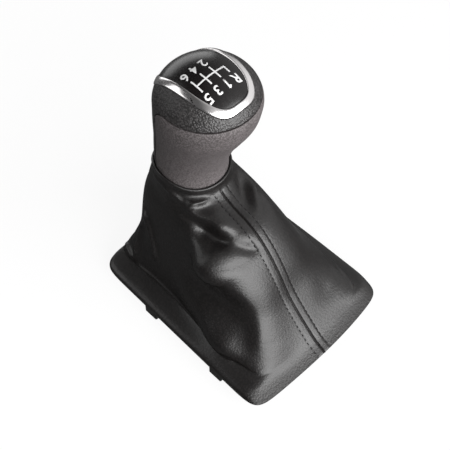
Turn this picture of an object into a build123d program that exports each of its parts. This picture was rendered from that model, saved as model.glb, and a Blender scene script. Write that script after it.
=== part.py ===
from build123d import *
from functools import cache, partial
import math
import os

# Gear shift knob with a leather gaiter on a clip-in base frame, in millimetres
# X points to the car's right, Y forward and Z up
# The origin lies under the middle of the base, level with the clip feet

# Base of the gaiter
BASE_WIDTH = 98.0
BASE_LENGTH = 124.0
BASE_FLARE = 0.9
BASE_SQUARENESS = 12.0
FRONT_BOW = 4.4
CLIP_DROP = 6.5
RAIL_WIDTH = 12.5
CREASE_RISE = 5.5
FRONT_SETBACK = 9.5
REAR_SETBACK = 2.5
HEM_WIDTH = 9.0
LEATHER = 1.0
FIT = 0.25

# Clips under the frame
CLIP_WIDTH = 8.0
CLIP_THICKNESS = 3.0
SIDE_CLIP_YS = (-22.0, 29.0)
REAR_CLIP_X = 22.0
FRONT_LUG_X = 24.0
FRONT_LUG_WIDTH = 5.0
FRONT_LUG_DROP = 2.5

# Hoop under the hem, and the pins that hold it
HOOP_WIDTH = 5.0
HOOP_THICKNESS = 1.8
PIN_RADIUS = 1.1
PIN_COUNT = 10

# Lever line and collar of the gaiter
LEVER_Y = -37.0
LEVER_RADIUS = 6.0
COLLAR_RISE = 74.0
RIM_HEIGHT = 3.5
RIM_BEAD = 0.3

# Knob outside
STEM_RADIUS = 18.7
STEM_RISE = 69.5
HEAD_RADIUS = 25.35
HEAD_LEAN = 12.9
GRIP_HEIGHT = 59.0
DOME_HEIGHT = 19.5
COVER_WALL = 2.4

# Split between the head cover and the grip panel
GROOVE_RISE = 5.0
GROOVE_WIDTH = 0.8
SPINE_SETBACK_LOW = 7.7
SPINE_SETBACK_TOP = 10.5
SPINE_CORNER = 5.0

# Trim ring, set back from the widest line of the head, and pattern insert
RING_TILT = 15.0
RING_SIDE_SETBACK = 8.95
RING_FRONT_SETBACK = 1.95
RING_REAR_SETBACK = 0.35
RING_FULLNESS = 3.4
RING_SIDE_BAND = 3.2
RING_END_BAND = 1.6
RING_PROUD = 0.5
RING_DEPTH = 1.8
INSERT_SINK = 0.1
LEG_X = 7.0
LEG_Y = 10.0
LEG_WIDTH = 3.0
LEG_THICKNESS = 1.6
LEG_LENGTH = 11.0

# Core, bushing, clamp and tie
NECK_RADIUS = 15.2
NECK_LENGTH = 14.0
COLLET_RADIUS = 9.6
COLLET_LENGTH = 16.0
SLOT_WIDTH = 1.6
SLOT_LENGTH = 12.0
BUSHING_WALL = 1.4
BUSHING_LENGTH = 44.0
BUSHING_FLANGE = 1.6
CLAMP_BAND = 0.9
CLAMP_HEIGHT = 7.0
CLAMP_EAR = 3.0
TIE_BAND = 1.3
TIE_HEIGHT = 4.5
TIE_HEAD = 5.0

# Sampling of the free outlines and of the dome
OUTLINE_POINTS = 64
DOME_TURNS = (20.0, 38.0, 54.0, 68.0, 80.0)

# Flange rows: share of the crease rise, of the front setback and of the rail width,
# and how far the leather's thickness turns from sideways to upright along them
FLANGE_LEAN = 0.7
FLANGE_ROWS = [(0.0, 0.0, 0.0), (0.38, 0.45, 0.03), (0.67, 0.74, 0.19), (1.0, 1.0, 1.0)]

# Bellows rows: share of the rise from crease to rim, then how far the front, the sides and the rear
# have moved from the crease to the collar, and the squareness of the outline
BELLOWS_ROWS = [
    (0.14, 0.14, 0.10, 0.0, 5.0),
    (0.29, 0.27, 0.24, 0.05, 4.0),
    (0.51, 0.40, 0.46, 0.15, 3.2),
    (0.665, 0.51, 0.63, 0.30, 2.7),
    (0.77, 0.62, 0.76, 0.50, 2.4),
    (0.825, 0.72, 0.84, 0.65, 2.2),
    (0.87, 0.88, 0.93, 0.80, 2.1),
    (0.93, 1.0, 1.0, 1.0, 2.0),
    (1.0, 1.0, 1.0, 1.0, 2.0),
]

# Share of the height over which the folds run out below the collar
COLLAR_RUNOUT = 0.12

# Folds of the leather: heading round the gaiter in degrees from the car's right towards the front,
# share of the bellows' height, outward swell, spread in degrees and spread in height
FOLDS = [
    (52.0, 0.87, 2.2, 16.0, 0.06),
    (48.0, 0.79, -2.4, 14.0, 0.06),
    (62.0, 0.58, 2.4, 16.0, 0.12),
    (50.0, 0.45, -2.6, 12.0, 0.14),
    (118.0, 0.86, -2.2, 14.0, 0.05),
    (160.0, 0.14, 4.0, 26.0, 0.20),
    (-60.0, 0.72, 2.5, 24.0, 0.20),
    (-42.0, 0.40, 1.2, 8.0, 0.25),
]

# Grip rows: share of the grip's height, of its growth and of its lean
GRIP_ROWS = [
    (0.0, 0.0, 0.0),
    (0.13, 0.0, 0.0),
    (0.25, 0.05, 0.05),
    (0.37, 0.17, 0.18),
    (0.53, 0.36, 0.39),
    (0.72, 0.70, 0.69),
    (0.88, 0.94, 0.92),
    (1.0, 1.0, 1.0),
]

# Places worked out from the dimensions
FRONT_Y = BASE_LENGTH / 2
REAR_Y = -BASE_LENGTH / 2
SIDE_X = BASE_WIDTH / 2
EDGE_Z = CLIP_DROP
CREASE_Z = EDGE_Z + CREASE_RISE
RIM_TOP_Z = EDGE_Z + COLLAR_RISE
RIM_Z = RIM_TOP_Z - RIM_HEIGHT
STEM_Z = EDGE_Z + STEM_RISE
EQUATOR_Z = STEM_Z + GRIP_HEIGHT
APEX_Z = EQUATOR_Z + DOME_HEIGHT
HEAD_Y = LEVER_Y + HEAD_LEAN
RING_HALF_WIDTH = HEAD_RADIUS - RING_SIDE_SETBACK
RING_FRONT_LENGTH = HEAD_RADIUS - RING_FRONT_SETBACK
RING_REAR_LENGTH = HEAD_RADIUS - RING_REAR_SETBACK
RIM_WALL = 2 * LEATHER + FIT
COLLAR_RADIUS = STEM_RADIUS + 2 * FIT + RIM_WALL
NECK_Z = STEM_Z - NECK_LENGTH
COLLET_Z = NECK_Z - COLLET_LENGTH
RAIL_Z = EDGE_Z + LEATHER + FIT
HOOP_TOP_Z = EDGE_Z - FIT
HOOP_INSET = LEATHER + CLIP_THICKNESS + 3 * FIT
BUSHING_RADIUS = LEVER_RADIUS + BUSHING_WALL
FLAP_INNER = NECK_RADIUS + FIT
FLAP_OUTER = FLAP_INNER + LEATHER
TIE_INNER = FLAP_OUTER + FIT


def mix(low, high, share):
    return low + (high - low) * share


def closed_face(points):
    return Face(Wire([Edge.make_spline([Vector(*p) for p in points], periodic=True)]))


def half_face(points, overrun):
    """Outline from seam to seam, closed along the seams or, with an overrun, past them."""
    first, last = Vector(*points[0]), Vector(*points[-1])
    past = Vector(overrun, 0, 0)
    corners = [last, last + past, first + past, first] if overrun else [last, first]
    edges = [Edge.make_spline([Vector(*p) for p in points])]
    edges += [Edge.make_line(start, end) for start, end in zip(corners, corners[1:])]
    return Face(Wire(edges))


def full_turn():
    return [2 * math.pi * i / OUTLINE_POINTS for i in range(OUTLINE_POINTS)]


def half_turn(side):
    """Headings from the rear seam round the right side to the front seam, or back round the left."""
    start = -side * math.pi / 2
    steps = OUTLINE_POINTS // 2
    return [start + math.pi * i / steps for i in range(steps + 1)]


def superellipse(heading, half_width, half_length, power):
    """Point of a rounded outline in a given direction from its middle."""
    across = abs(math.cos(heading) / half_width) ** power
    along = abs(math.sin(heading) / half_length) ** power
    reach = (across + along) ** (-1 / power)
    return reach * math.cos(heading), reach * math.sin(heading)


def outline(turns, z, front, rear, half_width, power, shaping, swell=None):
    """Points of one outline at the given headings. Shaping gives the base's flare and bowed front,
    and swell the folds of the bellows."""
    middle = (front + rear) / 2
    half_length = (front - rear) / 2
    points = []
    for heading in turns:
        x, y = superellipse(heading, half_width, half_length, power)
        grow = 1 + swell(heading) / math.hypot(x, y) if swell else 1
        across, forward = x / half_width, y / half_length
        x += shaping * BASE_FLARE * across * forward
        y -= shaping * FRONT_BOW * (across * max(0.0, forward)) ** 2
        points.append((x * grow, middle + y * grow, z))
    return points


def base_outline(turns, z, front_inset, rear_inset, side_inset):
    """Outline of the base, pulled in by the given insets."""
    front, rear = FRONT_Y - front_inset, REAR_Y + rear_inset
    return outline(turns, z, front, rear, SIDE_X - side_inset, BASE_SQUARENESS, 1)


def flange_outlines(turns, depth, bottom_z):
    """Outlines of the flange from bottom_z up, sunk by depth under the leather's outside."""
    rows = []
    for rise, front_share, side_share in FLANGE_ROWS:
        inward = depth * (1 - FLANGE_LEAN * rise)
        z = EDGE_Z + CREASE_RISE * rise - depth * rise
        front = FRONT_SETBACK * front_share + inward
        rows.append((z, front, REAR_SETBACK * side_share + inward, RAIL_WIDTH * side_share + inward))
    share = (bottom_z - rows[0][0]) / (rows[1][0] - rows[0][0])
    rows[0] = tuple(mix(low, high, share) for low, high in zip(rows[0], rows[1]))
    return [base_outline(turns, *row) for row in rows]


def fold_swell(rise, heading):
    """Swell of the folds at one place, which runs out at the collar."""
    swell = 0.0
    for fold_heading, fold_rise, height, spread, rise_spread in FOLDS:
        turn = math.degrees(heading) - fold_heading
        turn = (turn + 180) % 360 - 180
        swell += height * math.exp(-(turn / spread) ** 2 - ((rise - fold_rise) / rise_spread) ** 2)
    return swell * min(1.0, (1 - rise) / COLLAR_RUNOUT)


def bellows_outlines(turns, depth):
    """Outlines from above the crease to the collar, sunk by depth under the leather's outside."""
    outlines = []
    for rise, front_share, side_share, rear_share, power in BELLOWS_ROWS:
        front = mix(FRONT_Y - FRONT_SETBACK, LEVER_Y + COLLAR_RADIUS, front_share) - depth
        rear = mix(REAR_Y + REAR_SETBACK, LEVER_Y - COLLAR_RADIUS, rear_share) + depth
        half_width = mix(SIDE_X - RAIL_WIDTH, COLLAR_RADIUS, side_share) - depth
        z = mix(CREASE_Z, RIM_Z, rise) - depth
        shaping = (1 - front_share) ** 2
        swell = partial(fold_swell, rise)
        outlines.append(outline(turns, z, front, rear, half_width, power, shaping, swell))
    return outlines


def base_prism(inset, low_z, high_z):
    """Upright block with the outline of the base, pulled in all round."""
    face = closed_face(base_outline(full_turn(), low_z, inset, inset, inset))
    return extrude(face, amount=high_z - low_z, dir=(0, 0, 1))


def tube(outer, inner, low_z, high_z, y=LEVER_Y):
    ring = Circle(outer) - Circle(inner)
    return Pos(0, y, low_z) * extrude(ring, amount=high_z - low_z)


def rod(radius, low_z, high_z, y=LEVER_Y):
    return Pos(0, y, low_z) * extrude(Circle(radius), amount=high_z - low_z)


def block(x_range, y_range, z_range):
    (x0, x1), (y0, y1), (z0, z1) = x_range, y_range, z_range
    middle = Pos((x0 + x1) / 2, (y0 + y1) / 2, (z0 + z1) / 2)
    return middle * Box(x1 - x0, y1 - y0, z1 - z0)


def collar_and_flap(side):
    """One half of the rolled rim of the gaiter and of the flap that turns in to the core's neck."""
    rim_inner = COLLAR_RADIUS - RIM_WALL
    flap_mid = rim_inner + LEATHER - FIT
    flap_z = RIM_Z - RIM_HEIGHT
    flap_low = NECK_Z + LEATHER
    turn_z = flap_z - 2 * LEATHER
    rim_middle = Pos((rim_inner + COLLAR_RADIUS + RIM_BEAD) / 2, RIM_Z + (RIM_HEIGHT - LEATHER) / 2)
    rim = Plane.XZ * rim_middle * RectangleRounded(RIM_WALL + RIM_BEAD, RIM_HEIGHT + LEATHER, LEATHER)
    flap = make_face(
        Plane.XZ
        * Polyline(
            (rim_inner, RIM_Z + LEATHER),
            (rim_inner, flap_z),
            (FLAP_INNER, turn_z),
            (FLAP_INNER, flap_low),
            (FLAP_OUTER, flap_low),
            (FLAP_OUTER, turn_z - LEATHER / 2),
            (flap_mid, flap_z - LEATHER / 2),
            (flap_mid, RIM_Z + LEATHER),
            close=True,
        )
    )
    half_ring = revolve(rim, Axis.Z, 180) + revolve(flap, Axis.Z, 180)
    return Location((0, LEVER_Y, 0), (0, 0, -side * 90)) * half_ring


def clip_places():
    """Middle and outward direction of each clip at the edge of the base."""
    places = []
    for y in SIDE_CLIP_YS:
        x = SIDE_X + BASE_FLARE * y / FRONT_Y
        places += [(x, y, 0), (-x, y, 180)]
    for x in (-REAR_CLIP_X, REAR_CLIP_X):
        places.append((x, REAR_Y, -90))
    return places


def clip(x, y, turn):
    """Leg that drops from the rail through the hem, with a foot flush with the leather's edge."""
    half = CLIP_WIDTH / 2
    shank_out = -(LEATHER + 2 * FIT)
    shank = block((shank_out - CLIP_THICKNESS, shank_out), (-half, half), (0, RAIL_Z + FIT))
    foot = block((shank_out - CLIP_THICKNESS, -FIT), (-half, half), (0, EDGE_Z - FIT))
    foot = chamfer(foot.edges().filter_by(Axis.Y).group_by(Axis.X)[-1].sort_by(Axis.Z)[0], LEATHER)
    return Location((x, y, 0), (0, 0, turn)) * (shank + foot)


def clip_notch(x, y, turn):
    half = CLIP_WIDTH / 2 + FIT
    x_range = (-HOOP_INSET, -(LEATHER + FIT / 2))
    cut = block(x_range, (-half, half), (EDGE_Z - LEATHER, RAIL_Z))
    return Location((x, y, 0), (0, 0, turn)) * cut


def front_lug(side):
    """Locating lug inside the hoop, behind the bowed front."""
    half = FRONT_LUG_WIDTH / 2
    inset = HOOP_INSET + HOOP_WIDTH
    bow = FRONT_BOW * (FRONT_LUG_X / (SIDE_X - inset)) ** 2
    outer = FRONT_Y - bow - inset - LEATHER
    x = side * FRONT_LUG_X
    z_range = (EDGE_Z - FRONT_LUG_DROP, RAIL_Z + LEATHER)
    return block((x - half, x + half), (outer - CLIP_THICKNESS, outer), z_range)


def pin_places():
    """Points spread round the middle line of the hoop."""
    inset = HOOP_INSET + HOOP_WIDTH / 2
    line = closed_face(base_outline(full_turn(), 0, inset, inset, inset)).outer_wire()
    return [line.position_at((i + 0.5) / PIN_COUNT) for i in range(PIN_COUNT)]


def pins(radius, low_z, high_z):
    solids = [Pos(p.X, p.Y, low_z) * extrude(Circle(radius), amount=high_z - low_z) for p in pin_places()]
    return Part() + solids


def gaiter_frame():
    rows = flange_outlines(full_turn(), LEATHER + FIT, RAIL_Z)
    rail = loft([closed_face(points) for points in rows], ruled=True)
    rail -= base_prism(RAIL_WIDTH, 0, CREASE_Z + RAIL_WIDTH)
    rail += pins(PIN_RADIUS, HOOP_TOP_Z - HOOP_THICKNESS, RAIL_Z + LEATHER)
    for place in clip_places():
        rail += clip(*place)
    for side in (-1, 1):
        rail += front_lug(side)
    return rail


def hem_retainer():
    hoop = base_prism(HOOP_INSET, HOOP_TOP_Z - HOOP_THICKNESS, HOOP_TOP_Z)
    hoop -= base_prism(HOOP_INSET + HOOP_WIDTH, 0, RAIL_Z)
    return hoop - pins(PIN_RADIUS + FIT / 2, 0, RAIL_Z)


def gaiter_panel(side):
    """Leather panel on the car's right or left, sewn to the other along the front and rear seams."""
    turns = half_turn(side)
    outside = flange_outlines(turns, 0, EDGE_Z) + bellows_outlines(turns, 0)
    inside = flange_outlines(turns, LEATHER, EDGE_Z + LEATHER) + bellows_outlines(turns, LEATHER)
    inside.append([(x, y, z + 2 * LEATHER) for x, y, z in inside[-1]])
    leather = loft([half_face(points, 0) for points in outside], ruled=True)
    leather -= loft([half_face(points, -2 * side * LEATHER) for points in inside], ruled=True)
    leather -= base_prism(HEM_WIDTH, 0, RAIL_Z)
    leather -= pins(PIN_RADIUS + FIT / 2, 0, RAIL_Z)
    for place in clip_places():
        leather -= clip_notch(*place)
    return leather + collar_and_flap(side)


@cache
def knob_body(shrink):
    """Outside of the knob with its full round dome, pulled in all round by shrink."""
    sections = []
    for rise, growth, lean in GRIP_ROWS:
        place = Pos(0, LEVER_Y + HEAD_LEAN * lean, mix(STEM_Z, EQUATOR_Z, rise))
        sections.append(place * Circle(mix(STEM_RADIUS, HEAD_RADIUS, growth) - shrink))
    radius, height = HEAD_RADIUS - shrink, DOME_HEIGHT - shrink
    for turn in DOME_TURNS:
        place = Pos(0, HEAD_Y, EQUATOR_Z + height * math.sin(math.radians(turn)))
        sections.append(place * Circle(radius * math.cos(math.radians(turn))))
    return loft(sections + [Vertex(0, HEAD_Y, EQUATOR_Z + height)])


def ring_prism(side_grow, end_grow, drop=0.0):
    """Block with the outline of the trim ring, larger by the given amounts, that leans back over the head."""
    points = []
    for heading in full_turn():
        length = RING_FRONT_LENGTH if math.sin(heading) > 0 else RING_REAR_LENGTH
        x, y = superellipse(heading, RING_HALF_WIDTH + side_grow, length + end_grow, RING_FULLNESS)
        points.append((x, y, -drop))
    place = Location((0, HEAD_Y, EQUATOR_Z), (RING_TILT, 0, 0))
    return place * extrude(closed_face(points), amount=2 * HEAD_RADIUS, dir=(0, 0, 1))


def grip_block(gap):
    """Space of the grip panel: in front of the spine and under the groove, less the gap."""
    rear_low = LEVER_Y - SPINE_SETBACK_LOW + gap
    rear_top = HEAD_Y - SPINE_SETBACK_TOP + gap
    top_z = EQUATOR_Z + GROOVE_RISE - gap
    low_z = STEM_Z - 2 * gap - FIT
    front = HEAD_Y + 2 * HEAD_RADIUS
    outline = Polyline((rear_low, low_z), (rear_top, top_z), (front, top_z), (front, low_z), close=True)
    face = make_face(outline)
    face = fillet(face.vertices().sort_by(Axis.X)[:2].sort_by(Axis.Y)[-1], SPINE_CORNER - gap)
    return extrude(Plane.YZ * face, amount=2 * HEAD_RADIUS, both=True)


def knob_shell():
    return knob_body(0) - knob_body(COVER_WALL)


def head_cover():
    return knob_shell() - grip_block(0) - ring_prism(FIT / 2, FIT / 2, FIT)


def grip_panel():
    return knob_shell() & grip_block(GROOVE_WIDTH)


def chrome_ring():
    band = ring_prism(0, 0) - ring_prism(-RING_SIDE_BAND, -RING_END_BAND, FIT)
    return (knob_body(-RING_PROUD) - knob_body(RING_DEPTH)) & band


def leg_places():
    return [(x, HEAD_Y + y) for x in (-LEG_X, LEG_X) for y in (-LEG_Y, LEG_Y)]


def legs(grow):
    """Snap legs of the insert, or their slots when larger by grow."""
    low_z = APEX_Z - RING_DEPTH - LEG_LENGTH - grow
    half_width = LEG_WIDTH / 2 + grow
    half_depth = LEG_THICKNESS / 2 + grow
    solids = []
    for x, y in leg_places():
        x_range = (x - half_depth, x + half_depth)
        solids.append(block(x_range, (y - half_width, y + half_width), (low_z, APEX_Z)))
    return Part() + solids


def pattern_insert():
    inside = ring_prism(-RING_SIDE_BAND - FIT / 2, -RING_END_BAND - FIT / 2)
    cap = (knob_body(INSERT_SINK) - knob_body(RING_DEPTH)) & inside
    return cap + (legs(0) & knob_body(RING_DEPTH - FIT))


def knob_core():
    core = knob_body(COVER_WALL + FIT)
    core += rod(NECK_RADIUS, NECK_Z, STEM_Z + COVER_WALL)
    core += rod(COLLET_RADIUS, COLLET_Z, NECK_Z + COVER_WALL)
    core -= rod(BUSHING_RADIUS + FIT / 2, COLLET_Z, COLLET_Z + BUSHING_LENGTH + FIT)
    for turn in (0, 90):
        slot = block((-COLLET_RADIUS, COLLET_RADIUS), (-SLOT_WIDTH / 2, SLOT_WIDTH / 2), (0, SLOT_LENGTH))
        core -= Location((0, LEVER_Y, COLLET_Z), (0, 0, turn)) * slot
    return core - legs(FIT)


def lever_bushing():
    sleeve = tube(BUSHING_RADIUS, LEVER_RADIUS, COLLET_Z - BUSHING_FLANGE, COLLET_Z + BUSHING_LENGTH)
    flange = tube(COLLET_RADIUS, LEVER_RADIUS, COLLET_Z - BUSHING_FLANGE, COLLET_Z)
    return sleeve + flange


def lever_clamp():
    low_z = COLLET_Z + (SLOT_LENGTH - CLAMP_HEIGHT) / 2
    inner = COLLET_RADIUS + FIT
    outer = inner + CLAMP_BAND
    band = tube(outer, inner, low_z, low_z + CLAMP_HEIGHT)
    near = LEVER_Y + outer - CLAMP_BAND / 2
    ear = block((-CLAMP_EAR / 2, CLAMP_EAR / 2), (near, near + CLAMP_EAR), (low_z, low_z + CLAMP_HEIGHT))
    return band + fillet(ear.edges().filter_by(Axis.Z).group_by(Axis.Y)[-1], CLAMP_BAND)


def gaiter_tie():
    low_z = NECK_Z + LEATHER + (NECK_LENGTH - TIE_HEIGHT) / 4
    band = tube(TIE_INNER + TIE_BAND, TIE_INNER, low_z, low_z + TIE_HEIGHT)
    far = LEVER_Y - TIE_INNER
    half = TIE_HEAD / 2
    head = block((-half, half), (far - 2 * TIE_BAND, far - TIE_BAND / 2), (low_z, low_z + TIE_HEIGHT))
    return band + (head - rod(TIE_INNER, low_z, low_z + TIE_HEIGHT))


PIECES = {
    "pattern_insert": pattern_insert(),
    "chrome_ring": chrome_ring(),
    "head_cover": head_cover(),
    "grip_panel": grip_panel(),
    "knob_core": knob_core(),
    "lever_bushing": lever_bushing(),
    "lever_clamp": lever_clamp(),
    "gaiter_tie": gaiter_tie(),
    "gaiter_right_panel": gaiter_panel(1),
    "gaiter_left_panel": gaiter_panel(-1),
    "gaiter_frame": gaiter_frame(),
    "hem_retainer": hem_retainer(),
}

os.makedirs("parts", exist_ok=True)
for name, piece in PIECES.items():
    export_step(piece, f"parts/{name}.step")
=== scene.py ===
import math
from functools import cache

import bpy
import numpy as np
from mathutils import Matrix, Vector


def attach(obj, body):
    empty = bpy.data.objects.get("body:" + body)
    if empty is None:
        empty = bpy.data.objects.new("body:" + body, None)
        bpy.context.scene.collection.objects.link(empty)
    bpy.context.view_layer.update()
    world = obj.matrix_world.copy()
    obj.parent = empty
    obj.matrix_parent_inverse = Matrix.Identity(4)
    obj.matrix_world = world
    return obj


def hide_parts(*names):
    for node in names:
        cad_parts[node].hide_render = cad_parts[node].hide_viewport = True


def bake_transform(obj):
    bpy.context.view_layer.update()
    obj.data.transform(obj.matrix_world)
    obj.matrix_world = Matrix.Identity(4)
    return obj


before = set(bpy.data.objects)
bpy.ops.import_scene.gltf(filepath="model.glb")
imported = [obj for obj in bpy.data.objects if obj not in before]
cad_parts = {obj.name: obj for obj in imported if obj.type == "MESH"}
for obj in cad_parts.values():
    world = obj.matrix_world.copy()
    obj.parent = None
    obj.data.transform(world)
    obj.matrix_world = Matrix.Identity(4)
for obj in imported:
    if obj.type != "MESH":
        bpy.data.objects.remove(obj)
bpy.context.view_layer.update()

# Gear shift knob with a leather gaiter: X points to the car's right, Y forward and Z up
MM = 0.001
NEAR = 0.001 * MM
WELD_REACH = 0.01 * MM

# Base of the gaiter
BASE_WIDTH = 98 * MM
BASE_LENGTH = 124 * MM
BASE_FLARE = 0.9 * MM
BASE_SQUARENESS = 14.0
FRONT_BOW_RIGHT = 2.2 * MM
FRONT_BOW_LEFT = 4.4 * MM
EDGE_Z = 6.5 * MM
RAIL_WIDTH = 12.5 * MM
CREASE_Z = 12 * MM
FRONT_SETBACK = 9.5 * MM
REAR_SETBACK = 2.5 * MM
HEM_WIDTH = 9 * MM
HEM_OVERRUN = 1.12
HEM_CURL = 0.35
EDGE_ROUND = 0.7 * MM
FLANGE_START = 0.07
LEATHER = 0.7 * MM

# Lever line, collar and neck
LEVER_Y = -37 * MM
COLLAR_RADIUS = 20.3 * MM
RIM_Z = 77 * MM
RIM_TOP_Z = 80.5 * MM
RIM_BEAD = 0.1 * MM
RIM_LIFT = 5 * MM
RIM_LIFT_HEADING = -8
RIM_LIFT_SPREAD = 45
FLAP_RADIUS = 15.6 * MM
FLAP_LOW_Z = 63.2 * MM

# Knob outside
STEM_RADIUS = 18.7 * MM
STEM_Z = 76 * MM
HEAD_RADIUS = 25.35 * MM
HEAD_LEAN = 12.9 * MM
HEAD_Y = LEVER_Y + HEAD_LEAN
EQUATOR_Z = 135 * MM
DOME_HEIGHT = 18.8 * MM
GROOVE_Z = 140 * MM
GROOVE_WIDTH = 0.8 * MM
SPINE_TURN = math.radians(24.4)
SPINE_CORNER = 9 * MM
SPINE_DIP = 12 * MM
PANEL_WALL = 1.8 * MM
PANEL_LIP = 0.35 * MM
LIP_SEGMENTS = 3
LIP_ANGLE = math.radians(50)
GRIP_CROWDING = 0.35

# Trim ring, insert and its print
RING_TILT = math.radians(15)
RING_HALF_WIDTH = 16.4 * MM
RING_FRONT_LENGTH = 23.4 * MM
RING_REAR_LENGTH = 25 * MM
RING_FRONT_FULLNESS = 2.75
RING_REAR_FULLNESS = 3.0
RING_SIDE_BAND = 3.2 * MM
RING_END_BAND = 1.6 * MM
RING_PROUD = 0.5 * MM
RING_DEPTH = 1.6 * MM
RING_GAP = 0.12 * MM
RING_WALL_SHARE = 0.14
RING_EDGE_SHARE = 0.35
RING_CROWN = 4
RING_SEARCH = (-0.3, 1.0)
RING_SEARCH_STEPS = 36
INSERT_SINK = 0.1 * MM
INSERT_RIM_SHARE = 0.05
PRINT_X = -6.8 * MM
PRINT_Y = -20.9 * MM
PRINT_RISE = 0.02 * MM
PRINT_THICKNESS = 0.05 * MM
GATE_PITCH = 5.4 * MM
GATE_REACH = 3.7 * MM
GATE_WIDTH = 0.75 * MM
GATE_STEP = 1 * MM
GATE_STEPS_LEAST = 4
DIGIT_Y = 7.5 * MM
DIGIT_HEIGHT = 4.7 * MM
DIGIT_SWELL = 0.018
DIGIT_CUTS = 3
FLAG_REACH = 1.1 * MM

# Signs of the shift pattern: gate, counted from the left, and side, 1 at the front and -1 at the rear
SIGNS = [("R", 0, 1), ("1", 1, 1), ("2", 1, -1), ("3", 2, 1), ("4", 2, -1), ("5", 3, 1), ("6", 3, -1)]
GATE_COUNT = 4
FLAG_GATE = 1

# Spots of painted dark reflection in the ring's colour: place and radius
RING_DARK_REFLECTION_SPOTS = [
    ((14.8 * MM, -19.0 * MM, 150.2 * MM), 0.35 * MM),
    ((15.1 * MM, -18.2 * MM, 149.9 * MM), 0.50 * MM),
    ((15.4 * MM, -17.4 * MM, 149.6 * MM), 0.35 * MM),
    ((15.8 * MM, -15.8 * MM, 148.9 * MM), 0.45 * MM),
]

# Flange rows: share of the crease rise, of the front setback and of the rail width
FLANGE_ROWS = [(0.0, 0.0, 0.0), (0.38, 0.45, 0.03), (0.67, 0.74, 0.19), (1.0, 1.0, 1.0)]

# Bellows rows: share of the rise from crease to rim, then how far the front, the sides and the rear
# have moved from the crease to the collar, and the squareness of the outline
BELLOWS_ROWS = [
    (0.0, 0.0, 0.0, 0.0, 14.0),
    (0.05, 0.05, 0.035, 0.0, 7.0),
    (0.14, 0.14, 0.10, 0.0, 4.2),
    (0.29, 0.27, 0.24, 0.05, 3.7),
    (0.51, 0.40, 0.46, 0.15, 3.2),
    (0.665, 0.51, 0.63, 0.30, 2.7),
    (0.77, 0.62, 0.76, 0.50, 2.4),
    (0.825, 0.72, 0.84, 0.65, 2.2),
    (0.87, 0.85, 0.91, 0.80, 2.1),
    (0.92, 0.945, 0.965, 0.93, 2.0),
    (0.965, 0.99, 0.993, 0.985, 2.0),
    (1.0, 1.0, 1.0, 1.0, 2.0),
]

# Collar rows: share of the collar's length, then radius and height of the rolled rim and its flap
COLLAR_ROWS = [
    (0.0, COLLAR_RADIUS, RIM_Z),
    (0.08, COLLAR_RADIUS + RIM_BEAD, RIM_TOP_Z - 2 * LEATHER),
    (0.14, COLLAR_RADIUS + RIM_BEAD, RIM_TOP_Z - LEATHER),
    (0.19, COLLAR_RADIUS - 0.3 * LEATHER, RIM_TOP_Z - 0.15 * LEATHER),
    (0.23, COLLAR_RADIUS - LEATHER, RIM_TOP_Z),
    (0.27, COLLAR_RADIUS - 1.7 * LEATHER, RIM_TOP_Z - 0.3 * LEATHER),
    (0.33, COLLAR_RADIUS - 2.0 * LEATHER, RIM_TOP_Z - 1.5 * LEATHER),
    (0.55, COLLAR_RADIUS - 2.1 * LEATHER, RIM_Z - 3 * LEATHER),
    (0.78, FLAP_RADIUS, RIM_Z - 6 * LEATHER),
    (1.0, FLAP_RADIUS, FLAP_LOW_Z),
]

# Broad swells of the leather: heading in degrees from the car's right towards the front,
# share of the bellows' height, outward swell, spread in degrees and spread in height
SWELLS = [
    (37.0, 0.07, 6.0 * MM, 14.0, 0.11),
    (41.0, 0.66, 6.0 * MM, 15.0, 0.085),
    (130.0, 0.03, 3.5 * MM, 13.0, 0.14),
    (162.0, 0.0, 7.0 * MM, 28.0, 0.28),
    (-57.0, 0.10, 3.5 * MM, 12.0, 0.14),
    (-60.0, 0.75, 2.6 * MM, 24.0, 0.24),
]

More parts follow.
